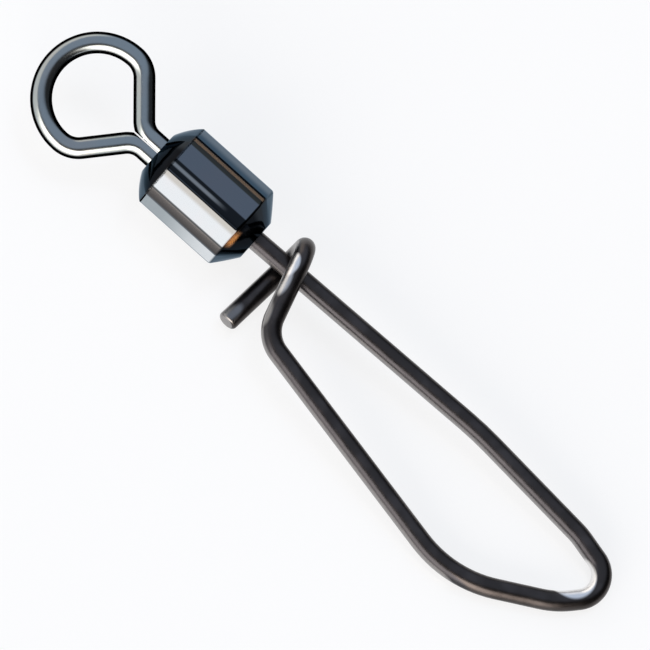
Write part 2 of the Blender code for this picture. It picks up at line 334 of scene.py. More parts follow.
class Wiring:
    """Adds nodes to one node tree and links them up."""

    def __init__(self, tree: bpy.types.NodeTree) -> None:
        """Keeps the tree that the nodes go into."""
        self.tree = tree

    def node(self, kind: str) -> bpy.types.Node:
        """Adds one node of this kind."""
        return self.tree.nodes.new(kind)

    def feed(self, socket: Output, given: Feed) -> None:
        """Links an output to a socket, or sets the socket to a value.

        Args:
            socket: The input socket.
            given: The output or the value.
        """
        if isinstance(given, Output):
            self.tree.links.new(given, socket)
        else:
            socket.default_value = given

    def working(self, kind: str, operation: str, *given: Feed) -> bpy.types.Node:
        """Adds a node that does a chosen operation.

        Args:
            kind: The node's kind.
            operation: What it does.
            given: Its inputs in order, each an output or a value.

        Returns:
            The node.
        """
        node = self.node(kind)
        node.operation = operation
        for socket, value in zip(node.inputs, given):
            self.feed(socket, value)
        return node

    def math(self, operation: str, *given: Feed) -> Output:
        """Adds a Math node and gives its output."""
        return self.working("ShaderNodeMath", operation, *given).outputs["Value"]

    def vector(self, operation: str, *given: Feed) -> bpy.types.Node:
        """Adds a Vector Math node."""
        return self.working("ShaderNodeVectorMath", operation, *given)

    def apart(self, given: Output) -> list[Output]:
        """Takes a vector apart.

        Args:
            given: The vector.

        Returns:
            Its x, y and z.
        """
        node = self.node("ShaderNodeSeparateXYZ")
        self.feed(node.inputs["Vector"], given)
        return list(node.outputs)

    def wrapped(self, angle: Feed, middle: float, period: float) -> Output:
        """Gives the angle from a middle that comes again every period, in degrees."""
        return self.math("WRAP", self.math("SUBTRACT", angle, middle), period / 2, -period / 2)

    def noise(self, where: Output, scale: Feed, detail: float) -> Output:
        """Adds a noise.

        Args:
            where: The place that it is read at.
            scale: How fine it is.
            detail: How many finer layers it has.

        Returns:
            Its output, from 0 to 1.
        """
        node = self.node("ShaderNodeTexNoise")
        node.inputs["Detail"].default_value = detail
        self.feed(node.inputs["Vector"], where)
        self.feed(node.inputs["Scale"], scale)
        return node.outputs["Fac"]

    def step(self, given: Feed, start: float, end: float) -> Output:
        """Adds a smooth step from 0 where the input is at start to 1 where it is at end.

        Args:
            given: The input.
            start: Where the step starts.
            end: Where it ends.

        Returns:
            Its output.
        """
        node = self.node("ShaderNodeMapRange")
        node.interpolation_type = "SMOOTHSTEP"
        self.feed(node.inputs["Value"], given)
        node.inputs["From Min"].default_value = min(start, end)
        node.inputs["From Max"].default_value = max(start, end)
        node.inputs["To Min"].default_value = 0.0 if start < end else 1.0
        node.inputs["To Max"].default_value = 1.0 if start < end else 0.0
        return node.outputs["Result"]

    def mix(self, share: Feed, first: Feed, second: Feed) -> Output:
        """Adds a mix of two colours.

        Args:
            share: The second colour's share.
            first: The first colour.
            second: The second colour.

        Returns:
            Its output.
        """
        node = self.node("ShaderNodeMix")
        node.data_type = "RGBA"
        self.feed(node.inputs["Factor"], share)
        for name, given in (("A", first), ("B", second)):
            self.feed(node.inputs[name], (*given, 1.0) if isinstance(given, tuple) else given)
        return node.outputs["Result"]

    def ramp(self, given: Feed, stops: Stops) -> Output:
        """Adds a grey ramp.

        Args:
            given: The input, from 0 to 1.
            stops: The ramp's places and the grey at each.

        Returns:
            Its output.
        """
        node = self.node("ShaderNodeValToRGB")
        elements = node.color_ramp.elements
        while len(elements) < len(stops):
            elements.new(0.5)
        for element, (place, grey) in zip(elements, stops):
            element.position = place
            element.color = (grey, grey, grey, 1.0)
        self.feed(node.inputs["Fac"], given)
        return node.outputs["Color"]


@dataclass(frozen=True)
class Surface:
    """A plating's material in the making: its shader, its tone, and the place on the piece."""

    wiring: Wiring
    shader: bpy.types.Node
    tone: Output
    place: Output

    def feed(self, name: str, given: Feed) -> None:
        """Feeds one of the shader's sockets."""
        self.wiring.feed(self.shader.inputs[name], given)


@dataclass(frozen=True)
class Plating:
    """A black nickel plating: its colours, its polish, and how its surface wanders."""

    name: str
    colour: Colour
    second_colour: Colour
    rim_tint: Colour
    roughness: float
    roughness_spread: float
    patch_scale: float
    patch_share: float
    ripple_scale: float
    ripple_depth: float

    def material(self, lay: Matrix) -> bpy.types.Material:
        """Makes the plating's material.

        Args:
            lay: How the piece lies, from its own frame.

        Returns:
            The material.
        """
        made = bpy.data.materials.new(self.name)
        made.use_nodes = True
        wiring = Wiring(made.node_tree)
        shader = made.node_tree.nodes["Principled BSDF"]
        shader.inputs["Specular Tint"].default_value = (*self.rim_tint, 1.0)
        shader.inputs["Metallic"].default_value = 1.0
        tone = wiring.node("ShaderNodeGroup")
        tone.node_tree = plating_tone()
        values = {
            "Colour": (*self.colour, 1.0),
            "Second Colour": (*self.second_colour, 1.0),
            "Patch Scale": self.patch_scale,
            "Patch Share": self.patch_share,
            "Roughness": self.roughness,
            "Roughness Spread": self.roughness_spread,
            "Ripple Scale": self.ripple_scale,
        }
        for socket, value in values.items():
            tone.inputs[socket].default_value = value
        bump = wiring.node("ShaderNodeBump")
        bump.inputs["Distance"].default_value = self.ripple_depth
        wiring.feed(bump.inputs["Height"], tone.outputs["Height"])
        wiring.feed(shader.inputs["Normal"], bump.outputs["Normal"])
        wiring.feed(shader.inputs["Roughness"], tone.outputs["Roughness"])
        own = wiring.node("ShaderNodeMapping")
        own.vector_type = "TEXTURE"
        own.inputs["Location"].default_value = lay.translation
        own.inputs["Rotation"].default_value = lay.to_euler()
        wiring.feed(own.inputs["Vector"], wiring.node("ShaderNodeTexCoord").outputs["Object"])
        self.colour_in(Surface(wiring, shader, tone.outputs["Colour"], own.outputs["Vector"]))
        return made

    def colour_in(self, surface: Surface) -> None:
        """Feeds the shader's colour, in the way of each kind of plating."""
        raise NotImplementedError


@dataclass(frozen=True)
class ShadedSidesPlating(Plating):
    """A plating on a flat wire form: its two faces in the plating's tone, and its sides painted
    near black, a painted shade for the dark reflections there.
    """

    # The heights over the form's middle plane where the painted shade on the sides ends and the
    # faces start, and how dark that painted shade is, as a share of the tone
    face_fade: Fade = (0.4 * MM, 0.46 * MM)
    side_shade: float = 0.04

    def colour_in(self, surface: Surface) -> None:
        """Feeds the shader's colour, by the height over the form's middle plane: painted shade on
        the sides.

        Args:
            surface: The material in the making.
        """
        wiring = surface.wiring
        height = wiring.math("ABSOLUTE", wiring.apart(surface.place)[2])
        # Painted shade: near black on the sides, the tone on the faces
        dark = wiring.mix(self.side_shade, BLACK, surface.tone)
        unshaded = wiring.step(height, *self.face_fade)
        surface.feed("Base Color", wiring.mix(unshaded, dark, surface.tone))


@dataclass(frozen=True)
class HighlightPatch:
    """A painted highlight: brighter metal all round one point, and how strong it is.

    The point is in the swivel's own frame, turned with the piece. It lies off the wire where only
    the wire's near side takes the painted highlight.
    """

    middle: Direction
    inner: float
    outer: float
    share: float


@dataclass(frozen=True)
class PaintedSheenPlating(Plating):
    """A plating with painted highlights, brighter metal where highlights fall, and one side painted
    lighter, a painted reflection of the pale floor.
    """

    highlight_patches: tuple[HighlightPatch, ...] = ()
    # The colour of the painted highlights
    highlight_colour: Colour = (0.8, 0.79, 0.78)
    # The painted reflection along one side: a neutral tint where the highlight starts, then a
    # lighter colour out to the edge
    edge_colour: Colour = (0.038, 0.037, 0.041)
    edge_fade: Fade = (0.35, 0.55)
    sheen_colour: Colour = (0.29, 0.28, 0.28)
    sheen_fade: Fade = (0.8, 0.98)

    def colour_in(self, surface: Surface) -> None:
        """Feeds the shader's colour, with the painted reflection along one side and the painted
        highlights round their points.

        Args:
            surface: The material in the making.
        """
        wiring = surface.wiring
        sheen_share = wiring.node("ShaderNodeAttribute")
        sheen_share.attribute_name = SHEEN_SIDE
        # Painted reflection: the side that faces the pale floor is painted lighter, with a neutral
        # tint where it starts
        edge = wiring.step(sheen_share.outputs["Fac"], *self.edge_fade)
        side = wiring.step(sheen_share.outputs["Fac"], *self.sheen_fade)
        edged = wiring.mix(edge, surface.tone, self.edge_colour)
        colour = wiring.mix(side, edged, self.sheen_colour)
        # Painted highlights: brighter metal round each point
        for highlight in self.highlight_patches:
            away = wiring.vector("DISTANCE", surface.place, highlight.middle).outputs["Value"]
            share = wiring.math("MULTIPLY", wiring.step(away, highlight.outer, highlight.inner), highlight.share)
            colour = wiring.mix(share, colour, self.highlight_colour)
        surface.feed("Base Color", colour)


@dataclass(frozen=True)
class Stripe:
    """A stripe along the barrel that fades evenly to both sides of its middle, in degrees."""

    colour: Colour
    middle: float
    outer: float
    inner: float

    def mask(self, wiring: Wiring, angle: Output) -> Output:
        """Gives the mask of the stripe by the angle round the barrel."""
        away = wiring.math("ABSOLUTE", wiring.wrapped(angle, self.middle, FULL_TURN))
        return wiring.step(away, self.outer, self.inner)


@dataclass(frozen=True)
class Band:
    """A band along the barrel whose two edges fade each in its own way, in degrees."""

    colour: Colour
    lower: Fade
    upper: Fade

    def mask(self, wiring: Wiring, angle: Output) -> Output:
        """Gives the mask of the band by the angle round the barrel."""
        lower, upper = wiring.step(angle, *self.lower), wiring.step(angle, *self.upper)
        return wiring.math("MULTIPLY", lower, upper)


@dataclass(frozen=True)
class PressedPlating(Plating):
    """A plating over a barrel's pressed flats: painted shade along their edges and over the rolled
    ends, and a painted reflection on one flat.

    The angles go round the barrel from the swivel's own y towards its z. The stops place the
    painted shade along a flat's edges and the painted lighter line in it, as shares of the way from
    flat to flat.
    """

    edge_middle: float = 22.5
    edge_period: float = 45.0
    # Painted shade along the flats' edges, with a painted lighter line in its middle
    flat_stops: Stops = ((0.26, 1.0), (0.29, 0.0), (0.6, 0.0), (0.63, 1.0))
    glint_stops: Stops = ((0.36, 0.0), (0.4, 1.0), (0.45, 1.0), (0.49, 0.0))
    glint_colour: Colour = (0.27, 0.27, 0.26)
    glint_fade: Fade = (1.6 * MM, 0.0)
    # How dark the painted shade is along the flats' edges and over the rolled ends, as shares of
    # the tone
    edge_shade: float = 0.12
    end_shade: float = 0.18
    body_fade: Fade = (2.7 * MM, 2.55 * MM)
    # Stripes round the barrel: painted shade near black on the rolled ends' front, a painted grey
    # band, and painted shade by the flats' corners; then the warm line and the rolled edge where
    # copper shows
    front: Stripe = Stripe((0.006, 0.006, 0.007), 125.0, 44.0, 32.0)
    grey_band: Band = Band((0.098, 0.103, 0.106), (118.0, 119.5), (130.0, 124.0))
    brown: Stripe = Stripe((0.055, 0.053, 0.054), 156.5, 7.5, 5.0)
    navy: Band = Band((0.028, 0.044, 0.064), (38.0, 56.0), (68.0, 66.5))
    shade: Stripe = Stripe((0.045, 0.046, 0.04), 73.0, 4.2, 2.2)
    warm: Stripe = Stripe((0.22, 0.14, 0.08), 66.8, 3.8, 1.4)
    copper: Stripe = Stripe((0.4, 0.17, 0.05), 132.0, 17.0, 5.0)
    copper_at: float = 2.81 * MM
    copper_fade: Fade = (0.22 * MM, 0.04 * MM)
    # A painted reflection of the lit floor: the flat that faces -y painted lighter, lightest
    # towards the snap
    floor_reflection: Stripe = Stripe((0.42, 0.44, 0.44), 180.0, 15.5, 14.0)
    reflection_colour: Colour = (0.85, 0.85, 0.84)
    reflection_fade: Fade = (-1.5 * MM, 2.4 * MM)

    def colour_in(self, surface: Surface) -> None:
        """Feeds the shader's colour and its share of metal from the place on the barrel.

        Args:
            surface: The material in the making.
        """
        wiring = surface.wiring
        x, y, z = wiring.apart(surface.place)
        angle = wiring.math("DEGREES", wiring.math("ARCTAN2", z, y))
        body = wiring.step(wiring.math("ABSOLUTE", x), *self.body_fade)

        # Along the bent metal between two flats: painted shade on both sides of a painted lighter
        # line, and painted shade over the rolled ends
        across = wiring.wrapped(angle, self.edge_middle, self.edge_period)
        share = wiring.math("MULTIPLY_ADD", across, 1 / self.edge_period, 0.5)
        drawn = wiring.mix(self.edge_shade, BLACK, surface.tone)
        # Painted shade over the rolled ends, near black towards the front
        rolled = wiring.mix(self.end_shade, BLACK, surface.tone)
        rolled = wiring.mix(self.front.mask(wiring, angle), rolled, self.front.colour)
        pressed = wiring.mix(wiring.ramp(share, self.flat_stops), drawn, surface.tone)
        colour = wiring.mix(body, rolled, pressed)
        # A painted lighter line in the middle of the painted shade on each edge
        lined = wiring.math("MULTIPLY", wiring.ramp(share, self.glint_stops), body)
        lined = wiring.math("MULTIPLY", lined, wiring.step(x, *self.glint_fade))
        colour = wiring.mix(lined, colour, self.glint_colour)

        # Painted shade and a painted grey band in stripes round the barrel; on the warm line copper
        # shows
        masks = []
        for mark in (self.grey_band, self.brown, self.navy, self.shade, self.warm):
            masks.append(wiring.math("MULTIPLY", mark.mask(wiring, angle), body))
            colour = wiring.mix(masks[-1], colour, mark.colour)

        # The rolled edge beside the front flat shows copper too
        past = wiring.math("ABSOLUTE", wiring.math("SUBTRACT", x, self.copper_at))
        rim = wiring.step(past, *self.copper_fade)
        copper = wiring.math("MULTIPLY", self.copper.mask(wiring, angle), rim)
        colour = wiring.mix(copper, colour, self.copper.colour)

        # A painted reflection: the flat that faces -y is painted lighter, most of all towards the
        # snap
        floor_reflection = wiring.math("MULTIPLY", self.floor_reflection.mask(wiring, angle), body)
        bare = wiring.mix(wiring.step(x, *self.reflection_fade), self.floor_reflection.colour, self.reflection_colour)
        surface.feed("Base Color", wiring.mix(floor_reflection, colour, bare))
        tarnished = wiring.math("MAXIMUM", masks[-1], copper)
        surface.feed("Metallic", wiring.math("SUBTRACT", 1.0, tarnished))


# The plating's own variation: what goes in and comes out, and its two noises
TONE_SOCKETS = {
    "INPUT": {
        "Colour": "NodeSocketColor",
        "Second Colour": "NodeSocketColor",
        "Patch Scale": "NodeSocketFloat",
        "Patch Share": "NodeSocketFloat",
        "Roughness": "NodeSocketFloat",
        "Roughness Spread": "NodeSocketFloat",
        "Ripple Scale": "NodeSocketFloat",
    },
    "OUTPUT": {
        "Colour": "NodeSocketColor",
        "Roughness": "NodeSocketFloat",
        "Height": "NodeSocketFloat",
    },
}
PATCH_DETAIL = 2.0
PATCH_FADE: Fade = (0.42, 0.68)
RIPPLE_DETAIL = 3.0
RIPPLE_MIDDLE = 0.5


def plating_tone() -> bpy.types.NodeTree:
    """Builds, once, the node group that varies a plating's colour, polish and height.

    Returns:
        The node group.
    """
    name = "plating_tone"
    if name in bpy.data.node_groups:
        return bpy.data.node_groups[name]
    group = bpy.data.node_groups.new(name, "ShaderNodeTree")
    for way, sockets in TONE_SOCKETS.items():
        for socket, kind in sockets.items():
            group.interface.new_socket(socket, in_out=way, socket_type=kind)
    wiring = Wiring(group)
    given = wiring.node("NodeGroupInput").outputs
    result = wiring.node("NodeGroupOutput").inputs
    where = wiring.node("ShaderNodeTexCoord").outputs["Object"]
    patches = wiring.step(wiring.noise(where, given["Patch Scale"], PATCH_DETAIL), *PATCH_FADE)
    share = wiring.math("MULTIPLY", patches, given["Patch Share"])
    wiring.feed(result["Colour"], wiring.mix(share, given["Colour"], given["Second Colour"]))
    ripples = wiring.noise(where, given["Ripple Scale"], RIPPLE_DETAIL)
    wiring.feed(result["Height"], ripples)
    uneven = wiring.math("SUBTRACT", ripples, RIPPLE_MIDDLE)
    polish = wiring.math("MULTIPLY_ADD", uneven, given["Roughness Spread"], given["Roughness"])
    wiring.feed(result["Roughness"], polish)
    return group


BARREL_PLATING = PressedPlating(
    name="barrel_black_nickel",
    colour=(0.13, 0.148, 0.168),
    second_colour=(0.137, 0.147, 0.165),
    rim_tint=(0.6, 0.7, 0.8),
    roughness=0.08,
    roughness_spread=0.06,
    patch_scale=420.0,
    patch_share=0.7,
    ripple_scale=700.0,
    ripple_depth=5e-6,
)
EYE_PLATING = ShadedSidesPlating(
    name="eye_black_nickel",
    colour=(0.275, 0.305, 0.31),
    second_colour=(0.3, 0.305, 0.3),
    rim_tint=(0.0, 0.01, 0.03),
    roughness=0.2,
    roughness_spread=0.1,
    patch_scale=420.0,
    patch_share=0.7,
    ripple_scale=900.0,
    ripple_depth=8e-6,
)
SNAP_PLATING = PaintedSheenPlating(
    name="snap_black_nickel",
    colour=(0.049, 0.043, 0.041),
    second_colour=(0.075, 0.066, 0.064),
    rim_tint=(1.0, 1.0, 1.0),
    roughness=0.32,
    roughness_spread=0.16,
    patch_scale=600.0,
    patch_share=0.8,
    ripple_scale=1500.0,
    ripple_depth=1.4e-5,
    # Painted highlights on the crossing, the elbow, the tail and inside the nose
    highlight_patches=(
        HighlightPatch((4.34 * MM, -0.88 * MM, 4.06 * MM), 3.06 * MM, 3.18 * MM, 0.95),
        HighlightPatch((4.74 * MM, -2.18 * MM, 3.84 * MM), 3.06 * MM, 3.2 * MM, 0.6),
        HighlightPatch((5.11 * MM, -3.96 * MM, 1.59 * MM), 2.22 * MM, 2.42 * MM, 0.2),
        HighlightPatch((2.9 * MM, -3.6 * MM, 0.8 * MM), 2.45 * MM, 2.85 * MM, 0.3),
        HighlightPatch((29.95 * MM, -2.45 * MM, 0.0), 1.25 * MM, 1.45 * MM, 1.0),
    ),
)


@dataclass
class Piece:
    """A finished piece, with the solid, the body and the slot that it stands for."""

    name: str
    node: str
    body: str
    slot: str
    plating: Plating

    def form(self) -> bpy.types.Object:
        """Forms the piece in the swivel's own frame."""
        raise NotImplementedError


@dataclass(frozen=True)
class RolledEnd:
    """The sizes of one rolled end: how far it stands out, its lip, its crown and its hole."""

    depth: float
    face: float
    crown: float
    hole: float


@dataclass
class Barrel(Piece):
    """The drawn tube with eight pressed flats and both ends rolled in."""

    name: str = "rolled_barrel"
    node: str = "barrel"
    body: str = "barrel"
    slot: str = "barrel_plating"
    plating: Plating = BARREL_PLATING
    diameter: float = 5.5 * MM
    length: float = 5.3 * MM
    wall: float = 0.5 * MM
    flats: int = 8
    flat_depth: float = 0.095 * MM
    flat_edge: float = 0.05 * MM
    body_edge: float = 0.25 * MM
    ends: dict[End, RolledEnd] = field(
        default_factory=lambda: {
            End.EYE: RolledEnd(1.02 * MM, 2.76 * MM, 0.08 * MM, 2.19 * MM),
            End.SNAP: RolledEnd(1.11 * MM, 2.6 * MM, 0.02 * MM, 1.39 * MM),
        }
    )
    lip_radius: float = 0.14 * MM
    hole_edge: float = 0.05 * MM
    head_bearing: float = 0.55 * MM
    inner_corner_set: float = 0.2 * MM
    inner_edge: float = 0.12 * MM
    inner_margin: float = 0.05 * MM
    circle_sides: int = 144
    flat_cuts: int = 7
    shoulder_steps: int = 14
    fillet_steps: int = 5
    edge_steps: int = 3

    def shoulder(self, end: End) -> list[Corner]:
        """Lists the outer corners of one rolled end, from the body to its hole's rim.

        Args:
            end: Which end of the barrel.

        Returns:
            The corners: x is how far past the body, y is the radius there.
        """
        size = self.ends[end]
        lip = point(size.depth, size.face / 2)
        start = point(0.0, self.diameter / 2)
        outward = Vector((start.y - lip.y, lip.x, 0.0)).normalized()
        corners = [Corner(start, self.body_edge)]
        for step in range(1, self.shoulder_steps):
            along = step / self.shoulder_steps
            bulge = 4 * size.crown * along * (1 - along)
            corners.append(Corner(start.lerp(lip, along) + outward * bulge))
        corners.append(Corner(lip, self.lip_radius))
        corners.append(Corner(point(size.depth, size.hole / 2), self.hole_edge))
        return corners

    def inner(self, end: End) -> list[Corner]:
        """Lists the corners inside one end, from its hole to the inner wall.

        Args:
            end: Which end of the barrel.

        Returns:
            The corners: x is how far past the body, y is the radius there.
        """
        back = self.ends[end].depth - self.wall
        hole = self.ends[end].hole / 2
        inner_wall = self.diameter / 2 - self.wall
        return [
            Corner(point(back, hole), self.hole_edge),
            Corner(point(back, hole + self.head_bearing), self.inner_edge),
            Corner(point(-self.inner_corner_set, inner_wall), self.inner_edge),
        ]

    def stations(self, before: Vector, corners: list[Corner], after: Vector) -> list[Vector]:
        """Rounds an outline's corners into the places where the skin is turned.

        Args:
            before: The point before the first corner.
            corners: The outline's corners.
            after: The point after the last corner.

        Returns:
            The places along the outline.
        """
        places = [before] + [corner.place for corner in corners] + [after]
        found = []
        for index, corner in enumerate(corners):
            if corner.radius == 0.0:
                found.append(corner.place)
                continue
            turn = Turn.at(places[index], corner, places[index + 2])
            found += [turn.place(step / self.fillet_steps) for step in range(self.fillet_steps + 1)]
        return found

    def press_flats(self, bench: Bench) -> None:
        """Trims the disc to the body's section: eight flats with softened edges.

        Args:
            bench: The piece in the making, still a disc.
        """
        reach = self.diameter / 2 - self.flat_depth
        for index in range(self.flats):
            angle = math.tau * index / self.flats
            normal = Vector((0.0, math.cos(angle), math.sin(angle)))
            bpy.ops.mesh.select_all(action="SELECT")
            bpy.ops.mesh.bisect(
                plane_co=bench.place + normal * reach,
                plane_no=normal,
                use_fill=False,
                clear_inner=False,
                clear_outer=True,
                threshold=MERGE_WITHIN,
            )
        self.select_flats(bench)
        bpy.ops.mesh.bevel(offset=self.flat_edge, segments=self.edge_steps, affect="VERTICES")
        bpy.ops.mesh.select_all(action="SELECT")
        bpy.ops.mesh.delete(type="ONLY_FACE")
        self.select_flats(bench)
        bpy.ops.mesh.subdivide(number_cuts=self.flat_cuts)

    def select_flats(self, bench: Bench) -> None:
        """Selects the edges of the section that run along its flats.

        Args:
            bench: The piece in the making.
        """
        bpy.ops.mesh.select_all(action="DESELECT")
        mesh = bmesh.from_edit_mesh(bench.piece.data)
        longest = max(edge.calc_length() for edge in mesh.edges)
        for edge in mesh.edges:
            if edge.calc_length() > longest / 2:
                edge.select_set(True)
        bmesh.update_edit_mesh(bench.piece.data)

    def skin(self, bench: Bench, end: End) -> None:
        """Draws the skin over one end, with the flats fading out along the shoulder.

        Args:
            bench: The piece in the making, with the section's ring selected.
            end: Which end of the barrel.
        """
        share = 1.0
        round_from = self.ends[end].depth - self.lip_radius
        for place in self.outline(end):
            bench.push(point(end.value * (self.length / 2 + place.x)))
            left = 1.0 - min(1.0, max(0.0, place.x / round_from))
            if left < share:
                bpy.ops.transform.tosphere(value=1.0 - left / share)
                share = left
            bench.size(place.y / bench.reach())

    def outline(self, end: End) -> list[Vector]:
        """Gives one end's whole outline, over the shoulder, through the hole and back inside.

        Args:
            end: Which end of the barrel.

        Returns:
            The places: x is how far past the body, y is the radius there.
        """
        radius = self.diameter / 2
        before = point(-self.length, radius)
        after = point(-self.length, radius - self.wall)
        return self.stations(before, self.shoulder(end) + self.inner(end), after)

    def form(self) -> bpy.types.Object:
        """Forms the barrel in the swivel's own frame.

        Returns:
            The barrel.
        """
        start = point(-self.length / 2)
        bench = Bench(self.name, self.circle_sides, self.diameter / 2, start)
        self.press_flats(bench)
        bench.select(lambda co: True)
        self.skin(bench, End.SNAP)
        rings = [bench.place.x]
        bench.select(lambda co: abs(co.x - start.x) < MERGE_WITHIN)
        bench.place = start
        self.skin(bench, End.EYE)
        rings.append(bench.place.x)
        inside = self.diameter / 2 - self.wall + self.inner_margin
        bench.select(
            lambda co: math.hypot(co.y, co.z) < inside
            and min(abs(co.x - ring) for ring in rings) < MERGE_WITHIN
        )
        bpy.ops.mesh.bridge_edge_loops()
        piece = bench.close()
        bpy.ops.object.modifier_add(type="WEIGHTED_NORMAL")
        piece.modifiers[-1].keep_sharp = True
        bpy.ops.object.modifier_apply(modifier=piece.modifiers[-1].name)
        return piece


@dataclass
class BentWire(Piece):
    """A wire that leaves one end of the barrel, with a spread head on its inner end."""

    wire: float
    face_x: float
    head_radius: float
    sides: int = 48
    wall: float = 0.5 * MM
    seat_clearance: float = 0.1 * MM
    head_taper: float = 0.2 * MM
    head_thickness: float = 0.75 * MM
    head_edge: float = 0.12 * MM
    head_steps: int = 4

    def head(self, aside: float) -> Bench:
        """Forms the head, from its rounded inner end down to the plain wire.

        Args:
            aside: How far the wire's middle lies from the barrel's axis below the head.

        Returns:
            The piece in the making, with the wire's end face selected.
        """
        way = math.copysign(1.0, self.face_x)
        under = self.face_x - way * (self.wall + self.seat_clearance)
        far = under - way * (self.head_taper + self.head_thickness)
        radius = flat_radius = self.head_radius - self.head_edge
        bench = Bench(self.name, self.sides, radius, point(far))
        for step in range(1, self.head_steps + 1):
            angle = math.pi / 2 * step / self.head_steps
            grown = flat_radius + self.head_edge * math.sin(angle)
            rounded = far + way * self.head_edge * (1 - math.cos(angle))
            bench.push(point(rounded))
            bench.size(grown / radius)
            radius = grown
        bench.push(point(under - way * self.head_taper))
        bench.push(point(under, aside))
        bench.size(self.wire / 2 / radius)
        return bench


@dataclass
class LineEye(BentWire):
    """The eye's one wire: a ring whose two flattened legs run into the barrel to a split head."""

    name: str = "bent_line_eye"
    node: str = "line_eye"
    body: str = "line_eye"
    slot: str = "eye_plating"
    plating: Plating = EYE_PLATING
    wire: float = 1.25 * MM
    face_x: float = -3.67 * MM
    head_radius: float = 1.545 * MM
    ring_radius: float = 3.2 * MM
    shoulder_radius: float = 1.6 * MM
    leg_angle: float = math.radians(48.5)
    stem_bend_radius: float = 1.4 * MM
    stem_length: float = 0.75 * MM
    stem_width: float = 1.99 * MM
    stem_split: float = 0.08 * MM

    @property
    def leg_offset(self) -> float:
        """How far each leg's middle lies from the stem's."""
        return (self.stem_width - self.wire) / 2

    @property
    def ring_x(self) -> float:
        """Where the ring's middle lies along the barrel's axis.

        Returns:
            Its x.
        """
        bends = self.shoulder_radius + self.stem_bend_radius
        rise = self.ring_radius - self.leg_offset - bends * (1 - math.cos(self.leg_angle))
        reach = rise / math.tan(self.leg_angle) + bends * math.sin(self.leg_angle)
        return self.face_x - self.stem_length - reach

    def form(self) -> bpy.types.Object:
        """Forms the eye in the swivel's own frame, flat in its plane z = 0.

        Returns:
            The eye.
        """
        bench = self.head(self.leg_offset)
        reach = math.tan(self.leg_angle / 2)
        stem_x = self.face_x - self.stem_length - self.stem_bend_radius * reach
        shoulder = point(self.ring_x + self.shoulder_radius * reach, self.ring_radius)
        ring_top = point(self.ring_x, self.ring_radius)
        corners = [
            Corner(point(stem_x, self.leg_offset), self.stem_bend_radius),
            Corner(shoulder, self.shoulder_radius),
        ]
        bench.follow(bench.place, corners, ring_top)
        centre = point(self.ring_x)
        bench.bend(Turn(ring_top, centre, Vector((0.0, 0.0, 1.0)), math.pi / 2))
        bpy.ops.mesh.delete(type="ONLY_FACE")
        pressed = self.stem_split / 2
        bench.select(lambda co: co.x > self.ring_x and co.y < pressed)
        bpy.ops.transform.resize(value=(1.0, 0.0, 1.0), center_override=(0.0, pressed, 0.0))
        bench.mirror()
        return bench.close()


